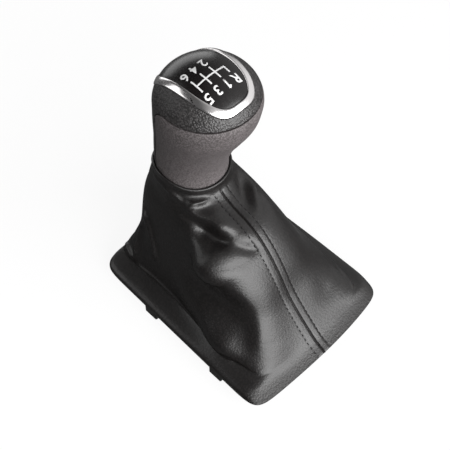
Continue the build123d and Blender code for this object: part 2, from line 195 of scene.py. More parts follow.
# Folds of the leather: stops as heading and share of the bellows' height, then in millimetres the
# outward height, the widths to the left and right of the line and the length over which its ends run out
FOLDS = {
    "collar_crease": ([(-40, 0.99), (-8, 0.985), (9, 0.975), (24, 0.955), (35, 0.92)], 1.2, 1.2, 2.5, 5),
    "pinch": (
        [(33, 0.925), (44, 0.89), (52, 0.87), (59, 0.855), (63, 0.833), (70, 0.825)],
        4.4, 6.5, 2.6, 6,
    ),
    "pinch_hollow": ([(36, 0.835), (46, 0.82), (54, 0.805), (60, 0.79), (66, 0.78)], -4.0, 4.0, 4.5, 6),
    "pinch_top": ([(35, 0.92), (46, 0.95), (58, 0.955), (72, 0.955)], 1.5, 2.2, 2.2, 5),
    "pinch_dip": ([(42, 0.925), (54, 0.905), (66, 0.89)], -1.3, 3.0, 3.0, 6),
    "saddle": ([(60, 0.845), (72, 0.825), (79, 0.797), (85, 0.753)], 1.1, 4.5, 4.5, 8),
    "valley": ([(63, 0.785), (70, 0.765), (75, 0.745), (80, 0.723), (85, 0.693)], -1.7, 3.0, 3.0, 7),
    "nose": ([(40, 0.655), (50, 0.665), (64, 0.66)], 1.5, 9.0, 9.0, 8),
    "lobe": (
        [(72, 0.735), (60, 0.745), (46, 0.715), (36, 0.652), (42, 0.612), (50, 0.59),
         (57, 0.54), (63, 0.468), (67, 0.36), (66, 0.26), (63, 0.15), (60, 0.06)],
        3.6, 14.0, 6.0, 12,
    ),
    "band": (
        [(0, 0.463), (16, 0.408), (30, 0.375), (43, 0.34), (52, 0.28), (57, 0.20)],
        -2.8, 8.0, 7.0, 18,
    ),
    "lower_lobe": ([(-4, 0.20), (8, 0.14), (24, 0.09), (36, 0.07), (46, 0.05)], 2.6, 14.0, 6.0, 12),
    "right_crease": (
        [(-49, 0.03), (-33, 0.04), (-7, 0.02), (10, 0.01), (29, 0.0), (46, 0.01)],
        1.1, 1.1, 1.1, 6,
    ),
    "rear_low": ([(-49, 0.05), (-54, 0.07), (-60, 0.05)], 1.6, 1.2, 1.2, 3),
    "rear_middle": ([(-49, 0.05), (-51, 0.245), (-52, 0.45)], 2.0, 1.3, 1.3, 6),
    "rear_upper": ([(-31, 0.215), (-34, 0.365), (-45, 0.56), (-54, 0.61)], 2.0, 1.5, 1.5, 8),
    "left_crease": ([(150, 0.06), (138, 0.05), (129, 0.03), (123, 0.0)], 0.8, 1.4, 1.4, 5),
    "left_dimple": ([(113, 0.20), (113, 0.13), (106, 0.15)], -0.7, 6.0, 6.0, 6),
    "collar_hollow": ([(140, 0.90), (128, 0.88), (115, 0.865), (106, 0.83)], -2.6, 4.5, 4.5, 8),
    "collar_loop": ([(150, 0.83), (140, 0.845), (120, 0.843), (103, 0.82)], 1.4, 2.5, 4.0, 8),
}

# Steps of a fold's line between two stops
FOLD_STEPS = 6

# Rise of the hem's rows, and the rises between which the rim's lift, swells, folds and seam set in or fade
HEM_RISE = -1.0
LIFT_START = (0.86, 1.0)
SWELL_END = (1.0, 0.9)
FOLD_START = (-0.05, 0.0)
FOLD_END = (1.0, 0.95)
SEAM_START = (-0.6, -0.08)
SEAM_END = (1.0, 0.93)

# Grip rows: share of the grip's height, of its growth and of its lean
GRIP_ROWS = [
    (0.0, 0.0, 0.0),
    (0.13, 0.0, 0.0),
    (0.25, 0.05, 0.05),
    (0.37, 0.17, 0.18),
    (0.53, 0.36, 0.39),
    (0.72, 0.70, 0.69),
    (0.88, 0.94, 0.92),
    (1.0, 1.0, 1.0),
]

# Seam down the front and rear of the gaiter, and its two rows of stitches. Its lines and its relief
# are in millimetres from the seam
SEAM_HALF = 6.0 * MM
SEAM_LIFT = 0.40
SEAM_LIFT_END = (3.4, 5.6)
SEAM_VALLEY = 0.9
STITCH_PULL = 0.25
SEAM_SOFTNESS = 0.5
SEAM_LINES = [0.0, 0.25, 0.5, 0.8, 1.2, 1.8, 2.5, 3.2, 3.8, 4.2, 4.5, 4.8, 5.3]
STITCH_LINE = 4.5
STITCH_PITCH = 2.9 * MM
STITCH_LENGTH = 2.0 * MM
STITCH_RADIUS = 0.32 * MM

# Columns and rows of the knob's skins
GRIP_GRID = (180, 84)
BAND_GRID = (200, 30)
SPINE_TOP_GRID = (100, 30)
SPINE_GRID = (100, 60)
RING_GRID = (240, 40)
CAP_GRID = (200, 60)

# Rows and columns of the leather's mesh, and where its lower and upper pieces meet
SIDE_COLUMNS = 174
HEM_STEPS = 8
FLANGE_STEPS = 20
BELLOWS_STEPS = 140
COLLAR_STEPS = 30
SPLIT_RISE = 0.40

# Camera
CAMERA_PLACE = (189.8 * MM, 179.6 * MM, 433.8 * MM)
CAMERA_AIM = (6.72 * MM, -6.37 * MM, 61.10 * MM)
CAMERA_LENS = 72.02
CAMERA_SENSOR = 36.0
CAMERA_NEAREST = 10 * MM

# Soft boxes: place, aim, width and height in metres, and watts
LAMPS = {
    "front_light": ((0.0, 1.05, 0.52), (0, 0, 0.05), (1.5, 1.0), 38),
    "side_light": ((0.58, -0.74, 0.65), (0, -0.03, 0.11), (0.7, 0.7), 3),
    "rear_light": ((-0.40, -0.90, 0.20), (0, 0, 0.12), (0.8, 0.5), 2.5),
}

# Floor, white to the camera and grey to other rays, and the studio around it, which glossy surfaces
# see brighter towards the front left
FLOOR_SIZE = 6.0
FLOOR_GREY = (0.15, 0.15, 0.15, 1)
FLOOR_WHITE = (0.95, 0.95, 0.95, 1)
FLOOR_GLOW = 0.9
STUDIO_LEVEL = 0.16
STUDIO_BRIGHT_WAY = (-0.7, 0.7, 0.0)
STUDIO_TURN = (-0.2, 0.7)
STUDIO_SHADES = (0.09, 1.0)


# Small tools

def mix(low, high, share):
    return low + (high - low) * share


def ease(low, high, value):
    """Smooth step from 0 at low to 1 at high, for one number or many."""
    share = np.clip((value - low) / (high - low), 0.0, 1.0)
    return share * share * (3 - 2 * share)


def smooth_through(rows, column, share):
    """Value of a column of rows at a share, on a smooth line that never overshoots its rows."""
    xs = [row[0] for row in rows]
    ys = [row[column] for row in rows]
    steps = [(y1 - y0) / (x1 - x0) for x0, x1, y0, y1 in zip(xs, xs[1:], ys, ys[1:])]
    slopes = [steps[0]]
    for before, after in zip(steps, steps[1:]):
        flat = before * after <= 0
        slopes.append(0.0 if flat else 2 * before * after / (before + after))
    slopes.append(steps[-1])
    i = max(0, min(len(steps) - 1, sum(share >= x for x in xs) - 1))
    width = xs[i + 1] - xs[i]
    t = (share - xs[i]) / width
    bend = (1 + 2 * t) * (1 - t) ** 2 * ys[i] + t * t * (3 - 2 * t) * ys[i + 1]
    return bend + width * (t * (1 - t) ** 2 * slopes[i] - t * t * (1 - t) * slopes[i + 1])


def deselect():
    bpy.ops.object.select_all(action="DESELECT")


def make_active(obj):
    deselect()
    obj.select_set(True)
    bpy.context.view_layer.objects.active = obj


def patch(name, columns, rows, place):
    """Grid laid on a surface: place turns its two shares, round and up, into a point."""
    deselect()
    bpy.ops.mesh.primitive_grid_add(x_subdivisions=columns, y_subdivisions=rows, size=1)
    obj = bpy.context.object
    obj.name = name
    obj.data.name = name
    for vertex in obj.data.vertices:
        vertex.co = place(vertex.co.x + 0.5, vertex.co.y + 0.5)
    return obj


def weld(obj, reach=WELD_REACH):
    make_active(obj)
    bpy.ops.object.mode_set(mode="EDIT")
    bpy.ops.mesh.select_all(action="SELECT")
    bpy.ops.mesh.remove_doubles(threshold=reach)
    bpy.ops.object.mode_set(mode="OBJECT")


def join(first, *others):
    make_active(first)
    for other in others:
        other.select_set(True)
    bpy.ops.object.join()
    return first


def apply_modifiers(obj):
    make_active(obj)
    for modifier in list(obj.modifiers):
        bpy.ops.object.modifier_apply(modifier=modifier.name)


def thicken(obj, wall, lip):
    """Gives a skin its wall, inwards, and rounds the rims of that wall."""
    shell = obj.modifiers.new("wall", "SOLIDIFY")
    shell.thickness = wall
    shell.offset = -1
    if lip:
        rim = obj.modifiers.new("lip", "BEVEL")
        rim.width = lip
        rim.segments = LIP_SEGMENTS
        rim.limit_method = "ANGLE"
        rim.angle_limit = LIP_ANGLE
    apply_modifiers(obj)


def smooth(obj, angle):
    make_active(obj)
    bpy.ops.object.shade_smooth_by_angle(angle=math.radians(angle))


def dress(obj, material, slot=None):
    obj.data.materials.clear()
    obj.data.materials.append(material)


# Materials

def new_material(name):
    material = bpy.data.materials.new(name)
    material.use_nodes = True
    return material, material.node_tree, material.node_tree.nodes["Principled BSDF"]


def node(tree, kind, **inputs):
    """New node with the given inputs, whose names have underscores for spaces."""
    made = tree.nodes.new(kind)
    for key, value in inputs.items():
        made.inputs[key.replace("_", " ")].default_value = value
    return made


def maths(tree, operation, second=None, vector=False):
    """Sum node of one kind, for numbers or vectors, with its second value where that is fixed."""
    made = tree.nodes.new("ShaderNodeVectorMath" if vector else "ShaderNodeMath")
    made.operation = operation
    if second is not None:
        made.inputs[1].default_value = second
    return made


def ramp(tree, source, target):
    """Node that turns one range of values into another."""
    low, high = source
    first, last = target
    return node(tree, "ShaderNodeMapRange", From_Min=low, From_Max=high, To_Min=first, To_Max=last)


def two_colours(tree, first, second):
    made = tree.nodes.new("ShaderNodeMix")
    made.data_type = "RGBA"
    made.inputs["A"].default_value = first
    made.inputs["B"].default_value = second
    return made


def object_place(tree):
    return tree.nodes.new("ShaderNodeTexCoord").outputs["Object"]


def new_group(name, inputs, outputs):
    """Node group with number inputs and the given outputs."""
    tree = bpy.data.node_groups.new(name, "ShaderNodeTree")
    for title, value in inputs.items():
        socket = tree.interface.new_socket(title, in_out="INPUT", socket_type="NodeSocketFloat")
        socket.default_value = value
    for title in outputs:
        tree.interface.new_socket(title, in_out="OUTPUT", socket_type="NodeSocketFloat")
    return tree, tree.nodes.new("NodeGroupInput"), tree.nodes.new("NodeGroupOutput")


def grain_group():
    """Pebbled grain: raised cells with worn tops, and a slow unevenness over the surface."""
    tree, inside, out = new_group(
        "pebble_grain",
        {"Pebbles": 900.0, "Waver": 0.3, "Patches": 40.0},
        ["Height", "Pits", "Patch"],
    )
    place = object_place(tree)
    waver = node(tree, "ShaderNodeTexNoise", Scale=600.0, Detail=2.0)
    bend = maths(tree, "SCALE", vector=True)
    shift = maths(tree, "ADD", vector=True)
    stretch = maths(tree, "MULTIPLY", MM)
    cells = node(tree, "ShaderNodeTexVoronoi")
    cells.feature = "SMOOTH_F1"
    cells.inputs["Smoothness"].default_value = 0.35
    fine = node(tree, "ShaderNodeTexNoise", Detail=3.0)
    finer = maths(tree, "MULTIPLY", 2.3)
    rise = ramp(tree, (0.05, 0.75), (1.0, 0.0))
    blend = node(tree, "ShaderNodeMix", Factor=0.25)
    pits = ramp(tree, (0.62, 0.25), (0.0, 1.0))
    patches = node(tree, "ShaderNodeTexNoise", Detail=2.0)
    link = tree.links.new
    link(place, waver.inputs["Vector"])
    link(waver.outputs["Color"], bend.inputs[0])
    link(inside.outputs["Waver"], stretch.inputs[0])
    link(stretch.outputs[0], bend.inputs["Scale"])
    link(place, shift.inputs[0])
    link(bend.outputs[0], shift.inputs[1])
    link(shift.outputs[0], cells.inputs["Vector"])
    link(inside.outputs["Pebbles"], cells.inputs["Scale"])
    link(inside.outputs["Pebbles"], finer.inputs[0])
    link(finer.outputs[0], fine.inputs["Scale"])
    link(place, fine.inputs["Vector"])
    link(cells.outputs["Distance"], rise.inputs["Value"])
    link(rise.outputs[0], blend.inputs["A"])
    link(fine.outputs[0], blend.inputs["B"])
    link(blend.outputs[0], out.inputs["Height"])
    link(blend.outputs[0], pits.inputs["Value"])
    link(pits.outputs[0], out.inputs["Pits"])
    link(place, patches.inputs["Vector"])
    link(inside.outputs["Patches"], patches.inputs["Scale"])
    link(patches.outputs[0], out.inputs["Patch"])
    return tree


GRAIN = grain_group()
GLOSS_SPREAD = 0.05


def grained(name, dark, light, roughness, pebbles, waver, depth, specular):
    """Finish with a pebbled grain: darker in the pits, and slightly uneven in its gloss."""
    material, tree, shader = new_material(name)
    grain = node(tree, "ShaderNodeGroup")
    grain.node_tree = GRAIN
    grain.inputs["Pebbles"].default_value = pebbles
    grain.inputs["Waver"].default_value = waver
    colour = two_colours(tree, (*light, 1), (*dark, 1))
    gloss = ramp(tree, (0.3, 0.7), (roughness - GLOSS_SPREAD, roughness + GLOSS_SPREAD))
    bump = node(tree, "ShaderNodeBump", Strength=1.0, Distance=depth)
    link = tree.links.new
    link(grain.outputs["Pits"], colour.inputs["Factor"])
    link(colour.outputs["Result"], shader.inputs["Base Color"])
    link(grain.outputs["Patch"], gloss.inputs["Value"])
    link(gloss.outputs[0], shader.inputs["Roughness"])
    link(grain.outputs["Height"], bump.inputs["Height"])
    link(bump.outputs[0], shader.inputs["Normal"])
    shader.inputs["Specular IOR Level"].default_value = specular
    return material


def leather_finish():
    return grained(
        "black_leather", dark=(0.0030, 0.0024, 0.0023), light=(0.0065, 0.0052, 0.0050),
        roughness=0.42, pebbles=850, waver=0.5, depth=0.07 * MM, specular=0.5,
    )


def grip_finish():
    return grained(
        "grip_grain", dark=(0.058, 0.051, 0.051), light=(0.132, 0.118, 0.120),
        roughness=0.55, pebbles=1500, waver=0.3, depth=0.10 * MM, specular=0.4,
    )


def head_finish():
    return grained(
        "head_grain", dark=(0.011, 0.010, 0.010), light=(0.042, 0.039, 0.039),
        roughness=0.42, pebbles=1150, waver=0.3, depth=0.28 * MM, specular=0.5,
    )


def moulding_finish(name, dark, light, roughness):
    """Fine-grained plastic of the hidden mouldings."""
    return grained(name, dark, light, roughness, pebbles=2200, waver=0.3, depth=0.02 * MM, specular=0.4)


def chrome_finish():
    """Bright plating, very slightly uneven, with a few small spots of painted dark reflection in its
    colour.
    """
    material, tree, shader = new_material("bright_chrome")
    link = tree.links.new
    place = object_place(tree)
    haze = node(tree, "ShaderNodeTexNoise", Scale=160.0, Detail=3.0)
    gloss = ramp(tree, (0.0, 1.0), (0.16, 0.26))
    colour = two_colours(tree, (0.05, 0.045, 0.045, 1), (0.74, 0.72, 0.72, 1))
    outside_reflection_spots = None
    for spot, radius in RING_DARK_REFLECTION_SPOTS:
        reach = maths(tree, "DISTANCE", spot, vector=True)
        edge = ramp(tree, (0.7 * radius, radius), (0.0, 1.0))
        link(place, reach.inputs[0])
        link(reach.outputs["Value"], edge.inputs["Value"])
        if outside_reflection_spots:
            both = maths(tree, "MULTIPLY")
            link(outside_reflection_spots.outputs[0], both.inputs[0])
            link(edge.outputs[0], both.inputs[1])
            edge = both
        outside_reflection_spots = edge
    # Painted dark reflection: the colour falls to near black inside the spots
    link(outside_reflection_spots.outputs[0], colour.inputs["Factor"])
    link(colour.outputs["Result"], shader.inputs["Base Color"])
    link(place, haze.inputs["Vector"])
    link(haze.outputs[0], gloss.inputs["Value"])
    link(gloss.outputs[0], shader.inputs["Roughness"])
    shader.inputs["Metallic"].default_value = 1.0
    return material


def gloss_black_finish():
    """Polished black plastic of the insert, slightly uneven in its gloss."""
    material, tree, shader = new_material("gloss_black")
    link = tree.links.new
    dust = node(tree, "ShaderNodeTexNoise", Scale=900.0, Detail=4.0)
    gloss = ramp(tree, (0.4, 0.7), (0.24, 0.32))
    link(object_place(tree), dust.inputs["Vector"])
    link(dust.outputs[0], gloss.inputs["Value"])
    link(gloss.outputs[0], shader.inputs["Roughness"])
    shader.inputs["Base Color"].default_value = (0.006, 0.005, 0.005, 1)
    shader.inputs["Specular IOR Level"].default_value = 0.4
    return material


def print_finish():
    """White print, a little thin in places."""
    material, tree, shader = new_material("white_print")
    link = tree.links.new
    ink = node(tree, "ShaderNodeTexNoise", Scale=1400.0, Detail=3.0)
    colour = two_colours(tree, (0.60, 0.60, 0.60, 1), (0.86, 0.86, 0.86, 1))
    link(object_place(tree), ink.inputs["Vector"])
    link(ink.outputs[0], colour.inputs["Factor"])
    link(colour.outputs["Result"], shader.inputs["Base Color"])
    shader.inputs["Roughness"].default_value = 0.5
    return material


def thread_finish():
    """Black thread with the twist of its strands."""
    material, tree, shader = new_material("black_thread")
    link = tree.links.new
    twist = node(tree, "ShaderNodeTexWave", Scale=900.0, Distortion=2.0)
    colour = two_colours(tree, (0.004, 0.004, 0.004, 1), (0.014, 0.013, 0.014, 1))
    bump = node(tree, "ShaderNodeBump", Strength=0.6, Distance=0.05 * MM)
    link(object_place(tree), twist.inputs["Vector"])
    link(twist.outputs[1], colour.inputs["Factor"])
    link(twist.outputs[1], bump.inputs["Height"])
    link(colour.outputs["Result"], shader.inputs["Base Color"])
    link(bump.outputs[0], shader.inputs["Normal"])
    shader.inputs["Roughness"].default_value = 0.7
    shader.inputs["Specular IOR Level"].default_value = 0.2
    return material


def steel_finish():
    """Plain steel band with drawn lines."""
    material, tree, shader = new_material("clamp_steel")
    link = tree.links.new
    stretch = node(tree, "ShaderNodeMapping", Scale=(60.0, 60.0, 2400.0))
    lines = node(tree, "ShaderNodeTexNoise", Scale=1.0, Detail=4.0)
    gloss = ramp(tree, (0.0, 1.0), (0.25, 0.5))
    link(object_place(tree), stretch.inputs["Vector"])
    link(stretch.outputs[0], lines.inputs["Vector"])
    link(lines.outputs[0], gloss.inputs["Value"])
    link(gloss.outputs[0], shader.inputs["Roughness"])
    shader.inputs["Base Color"].default_value = (0.55, 0.55, 0.54, 1)
    shader.inputs["Metallic"].default_value = 1.0
    return material


# Knob

def knob_point(turn, station, proud=0.0):
    """Point of the knob's outside: station is -1 at the stem, 0 at the widest line and 1 on top."""
    if station <= 0:
        growth = smooth_through(GRIP_ROWS, 1, 1 + station)
        lean = smooth_through(GRIP_ROWS, 2, 1 + station)
        out, z = 1.0, mix(STEM_Z, EQUATOR_Z, 1 + station)
    else:
        growth, lean = 1.0, 1.0
        climb = station * math.pi / 2
        out = math.cos(climb)
        z = EQUATOR_Z + (DOME_HEIGHT + proud) * math.sin(climb)
    reach = (mix(STEM_RADIUS, HEAD_RADIUS, growth) + proud) * out
    return Vector((reach * math.cos(turn), LEVER_Y + HEAD_LEAN * lean + reach * math.sin(turn), z))


def station_at(z):
    if z <= EQUATOR_Z:
        return (z - EQUATOR_Z) / (EQUATOR_Z - STEM_Z)
    return math.asin((z - EQUATOR_Z) / DOME_HEIGHT) / (math.pi / 2)


@cache
def ring_station(turn, side_grow, end_grow):
    """Station where the ring's leaning outline, larger by the given amounts, crosses a turn."""
    low, high = RING_SEARCH
    for _ in range(RING_SEARCH_STEPS):
        middle = (low + high) / 2
        point = knob_point(turn, middle)
        along = (point.y - HEAD_Y) * math.cos(RING_TILT) + (point.z - EQUATOR_Z) * math.sin(RING_TILT)
        ahead = along > 0
        length = RING_FRONT_LENGTH if ahead else RING_REAR_LENGTH
        power = RING_FRONT_FULLNESS if ahead else RING_REAR_FULLNESS
        across = abs(point.x / (RING_HALF_WIDTH + side_grow)) ** power
        if across + abs(along / (length + end_grow)) ** power > 1:
            low = middle
        else:
            high = middle
    return (low + high) / 2


def dome_height(x, y, sink):
    """Height of the dome, pulled in by sink, above a place in plan."""
    out = math.hypot(x, y - HEAD_Y) / (HEAD_RADIUS - sink)
    return EQUATOR_Z + (DOME_HEIGHT - sink) * math.sqrt(1 - out * out)


def corner_drop(turn):
    """How far the grip panel's upper edge drops in its rounded corner at the spine."""
    span = HEAD_RADIUS * min(turn + SPINE_TURN, math.pi + SPINE_TURN - turn)
    inside = max(0.0, SPINE_CORNER - span)
    return SPINE_CORNER - math.sqrt(max(0.0, SPINE_CORNER ** 2 - inside ** 2))


def grip_skin():
    inset = GROOVE_WIDTH / HEAD_RADIUS
    start, end = -SPINE_TURN + inset, math.pi + SPINE_TURN - inset

    def place(round_share, up_share):
        centred = 2 * round_share - 1
        crowded = mix(centred, math.sin(centred * math.pi / 2), GRIP_CROWDING)
        turn = mix(start, end, (1 + crowded) / 2)
        top = GROOVE_Z - GROOVE_WIDTH - corner_drop(turn)
        return knob_point(turn, station_at(mix(STEM_Z, top, up_share)))

    obj = patch("grip_panel_skin", *GRIP_GRID, place)
    thicken(obj, PANEL_WALL, PANEL_LIP)
    return obj


def head_skin():
    corner_z = GROOVE_Z - SPINE_CORNER
    front = 2 * SPINE_TURN + math.pi
    rear = 2 * math.pi - front

    def ring_edge(turn):
        return ring_station(turn, RING_GAP, RING_GAP)

    def rear_turn(round_share):
        return math.pi + SPINE_TURN + rear * round_share

    def waist(round_share):
        dip = SPINE_DIP * math.sin(math.pi * round_share)
        return station_at(corner_z - dip)

    def band(round_share, up_share):
        turn = -SPINE_TURN + front * round_share
        low = station_at(GROOVE_Z - corner_drop(turn))
        return knob_point(turn, mix(low, ring_edge(turn), up_share))

    def spine_top(round_share, up_share):
        turn = rear_turn(round_share)
        return knob_point(turn, mix(waist(round_share), ring_edge(turn), up_share))

    def spine(round_share, up_share):
        return knob_point(rear_turn(round_share), mix(-1.0, waist(round_share), up_share))

    obj = patch("head_cover_skin", *BAND_GRID, band)
    join(obj, patch("spine_top", *SPINE_TOP_GRID, spine_top), patch("spine", *SPINE_GRID, spine))
    weld(obj)
    thicken(obj, PANEL_WALL, PANEL_LIP)
    return obj


def ring_trim():
    def place(round_share, in_share):
        turn = 2 * math.pi * round_share
        outer = ring_station(turn, 0, 0)
        inner = ring_station(turn, -RING_SIDE_BAND, -RING_END_BAND)
        across = min(1.0, max(0.0, (in_share - RING_WALL_SHARE) / (1 - 2 * RING_WALL_SHARE)))
        crown = math.sqrt(1 - abs(2 * across - 1) ** RING_CROWN)
        height = RING_PROUD * mix(RING_EDGE_SHARE, 1.0, crown)
        if in_share < RING_WALL_SHARE:
            height = mix(-RING_DEPTH, height, in_share / RING_WALL_SHARE)
        elif in_share > 1 - RING_WALL_SHARE:
            height = mix(-RING_DEPTH, height, (1 - in_share) / RING_WALL_SHARE)
        return knob_point(turn, mix(outer, inner, across), height)

    obj = patch("chrome_trim", *RING_GRID, place)
    weld(obj)
    return obj


def insert_cap():
    def place(round_share, in_share):
        turn = 2 * math.pi * round_share
        rim = ring_station(turn, -RING_SIDE_BAND - RING_GAP, -RING_END_BAND - RING_GAP)
        across = max(0.0, (in_share - INSERT_RIM_SHARE) / (1 - INSERT_RIM_SHARE))
        down = max(0.0, 1 - in_share / INSERT_RIM_SHARE)
        return knob_point(turn, mix(rim, 1.0, across), -INSERT_SINK - RING_DEPTH * down)

    obj = patch("insert_cap", *CAP_GRID, place)
    weld(obj)
    return obj


def on_insert(obj, x, y):
    """Lays a flat mesh on the insert, its own middle at x, y, and gives it the print's thickness."""
    for vertex in obj.data.vertices:
        px, py = x + vertex.co.x, y + vertex.co.y
        vertex.co = (px, py, dome_height(px, py, INSERT_SINK) + PRINT_RISE)
    shell = obj.modifiers.new("ink", "SOLIDIFY")
    shell.thickness = PRINT_THICKNESS
    shell.offset = 1
    apply_modifiers(obj)
    return obj


def gate_line(name, x0, y0, x1, y1):
    """Straight print line between two places in plan."""
    along = Vector((x1 - x0, y1 - y0, 0))
    side = Vector((-along.y, along.x, 0)).normalized() * GATE_WIDTH

    def place(share, across):
        return along * (share - 0.5) + side * (across - 0.5)

    steps = max(GATE_STEPS_LEAST, int(along.length / GATE_STEP))
    return on_insert(patch(name, steps, 2, place), (x0 + x1) / 2, (y0 + y1) / 2)


def digit(sign, x, y):
    """One sign of the pattern, made from text and scaled to the print's height."""
    deselect()
    bpy.ops.object.text_add()
    obj = bpy.context.object
    obj.name = "pattern_" + sign
    obj.data.body = sign
    obj.data.offset = DIGIT_SWELL
    make_active(obj)
    bpy.ops.object.convert(target="MESH")
    obj = bpy.context.object
    xs = [vertex.co.x for vertex in obj.data.vertices]
    ys = [vertex.co.y for vertex in obj.data.vertices]
    scale = DIGIT_HEIGHT / (max(ys) - min(ys))
    for vertex in obj.data.vertices:
        vertex.co.x = (vertex.co.x - (min(xs) + max(xs)) / 2) * scale
        vertex.co.y = (vertex.co.y - (min(ys) + max(ys)) / 2) * scale
    make_active(obj)
    bpy.ops.object.mode_set(mode="EDIT")
    bpy.ops.mesh.select_all(action="SELECT")
    bpy.ops.mesh.remove_doubles(threshold=WELD_REACH)
    bpy.ops.mesh.quads_convert_to_tris()
    bpy.ops.mesh.subdivide(number_cuts=DIGIT_CUTS)
    bpy.ops.object.mode_set(mode="OBJECT")
    return on_insert(obj, x, y)


def pattern_print():
    """Gate lines and signs of the shift pattern, as one print."""
    front, rear = PRINT_Y + GATE_REACH, PRINT_Y - GATE_REACH
    gates = [PRINT_X + step * GATE_PITCH for step in range(GATE_COUNT)]
    parts = [gate_line("pattern_print", gates[0], PRINT_Y, gates[-1], PRINT_Y)]
    for x in gates:
        low = PRINT_Y - GATE_WIDTH / 2 if x == gates[0] else rear
        parts.append(gate_line("gate", x, low, x, front))
    for sign, gate, side in SIGNS:
        parts.append(digit(sign, gates[gate], PRINT_Y + side * DIGIT_Y))
    top, stem = PRINT_Y + DIGIT_Y + DIGIT_HEIGHT / 2, gates[FLAG_GATE]
    parts.append(gate_line("flag", stem, top, stem - FLAG_REACH, top - FLAG_REACH))
    return join(*parts)


# Gaiter

def bellows_row(rise):
    """Outline of the bellows at a share of its height: height, front, rear, half width, squareness,
    how much of the base's shaping it keeps, and that share."""
    front, side, rear, power = [smooth_through(BELLOWS_ROWS, column, rise) for column in (1, 2, 3, 4)]
    return (
        mix(CREASE_Z, RIM_Z, rise),
        mix(BASE_LENGTH / 2 - FRONT_SETBACK, LEVER_Y + COLLAR_RADIUS, front),
        mix(REAR_SETBACK - BASE_LENGTH / 2, LEVER_Y - COLLAR_RADIUS, rear),
        mix(BASE_WIDTH / 2 - RAIL_WIDTH, COLLAR_RADIUS, side),
        power,
        (1 - front) ** 2,
        rise,
    )


def base_row(z, front_inset, rear_inset, side_inset, rise):
    """Outline of the flange or the hem under it."""
    front, rear = BASE_LENGTH / 2 - front_inset, rear_inset - BASE_LENGTH / 2
    return z, front, rear, BASE_WIDTH / 2 - side_inset, BASE_SQUARENESS, 1.0, rise


def gaiter_rows():
    """Outlines from the hem's inner edge up to the flap's end."""
    rows = []
    for i in range(HEM_STEPS):
        inset = mix(HEM_WIDTH, 0, min(1.0, HEM_OVERRUN * i / HEM_STEPS))
        curl = HEM_CURL * max(0.0, 1 - inset / EDGE_ROUND) ** 2
        rows.append(base_row(EDGE_Z + EDGE_ROUND * curl, inset, inset, inset, HEM_RISE))
    for i in range(FLANGE_STEPS):
        share = mix(FLANGE_START, 1.0, i / FLANGE_STEPS)
        z = mix(EDGE_Z, CREASE_Z, share)
        setback = FRONT_SETBACK * smooth_through(FLANGE_ROWS, 1, share)
        inward = smooth_through(FLANGE_ROWS, 2, share)
        rise = (z - CREASE_Z) / (RIM_Z - CREASE_Z)
        rows.append(base_row(z, setback, REAR_SETBACK * inward, RAIL_WIDTH * inward, rise))
    rows += [bellows_row(i / BELLOWS_STEPS) for i in range(BELLOWS_STEPS)]
    for i in range(COLLAR_STEPS + 1):
        radius = smooth_through(COLLAR_ROWS, 1, i / COLLAR_STEPS)
        z = smooth_through(COLLAR_ROWS, 2, i / COLLAR_STEPS)
        rows.append((z, LEVER_Y + radius, LEVER_Y - radius, radius, 2.0, 0.0, 1.0))
    return rows


def headings(half_length):
    """Headings round one outline, crowded beside the two seams, from the rear seam round the right."""
    near = [math.asin(line * MM / half_length) for line in SEAM_LINES]
    edge = math.asin(SEAM_HALF / half_length)
    quarter = math.pi / 2
    across = [mix(edge - quarter, quarter - edge, i / SIDE_COLUMNS) for i in range(SIDE_COLUMNS + 1)]
    right = [turn - quarter for turn in near] + across + [quarter - turn for turn in near[:0:-1]]
    return np.array(right + [turn + math.pi for turn in right])


def swell_at(turns, rise):
    """Broad swells of the leather, which run out over the flange and at the collar."""
    swell = np.zeros_like(turns)
    if rise == HEM_RISE:
        return swell
    for heading, middle, height, spread, rise_spread in SWELLS:
        turn = (np.degrees(turns) - heading + 180) % 360 - 180
        swell += height * np.exp(-((turn / spread) ** 2) - ((rise - middle) / rise_spread) ** 2)
    flange = 1 + min(0.0, rise) * (RIM_Z - CREASE_Z) / (CREASE_Z - EDGE_Z)
    return swell * smooth_through(FLANGE_ROWS, 2, flange) * ease(*SWELL_END, rise)


def outline(row, turns):
    """Points of one outline of the gaiter at the given headings."""
    z, front, rear, half_width, power, shaping, rise = row
    half_length = (front - rear) / 2
    reach = np.abs(np.cos(turns) / half_width) ** power + np.abs(np.sin(turns) / half_length) ** power
    reach = reach ** (-1 / power)
    across, forward = reach * np.cos(turns) / half_width, reach * np.sin(turns) / half_length
    reach = reach + swell_at(turns, rise)
    x = reach * np.cos(turns) + shaping * BASE_FLARE * across * forward
    bow = np.where(across > 0, FRONT_BOW_RIGHT, FRONT_BOW_LEFT)
    y = reach * np.sin(turns) - shaping * bow * (across * np.maximum(0.0, forward)) ** 2
    turn = (np.degrees(turns) - RIM_LIFT_HEADING + 180) % 360 - 180
    lift = RIM_LIFT * ease(*LIFT_START, rise) * np.exp(-((turn / RIM_LIFT_SPREAD) ** 2))
    return np.stack([x, (front + rear) / 2 + y, z + lift], 1)


def normals_of(points):
    """Outward directions of a grid of points that closes round its second axis."""
    round_way = np.roll(points, -1, 1) - np.roll(points, 1, 1)
    up_way = np.gradient(points, axis=0)
    normal = np.cross(round_way, up_way)
    return normal / np.linalg.norm(normal, axis=2, keepdims=True)


def fold_path(stops):
    """Smooth line on the leather through stops given as heading and share of the height."""
    rows = [(i, math.radians(heading), rise) for i, (heading, rise) in enumerate(stops)]
    spots = []
    for step in np.linspace(0, len(stops) - 1, FOLD_STEPS * (len(stops) - 1) + 1):
        turn, rise = smooth_through(rows, 1, step), smooth_through(rows, 2, step)
        spots.append(outline(bellows_row(rise), np.array([turn]))[0])
    return np.array(spots)


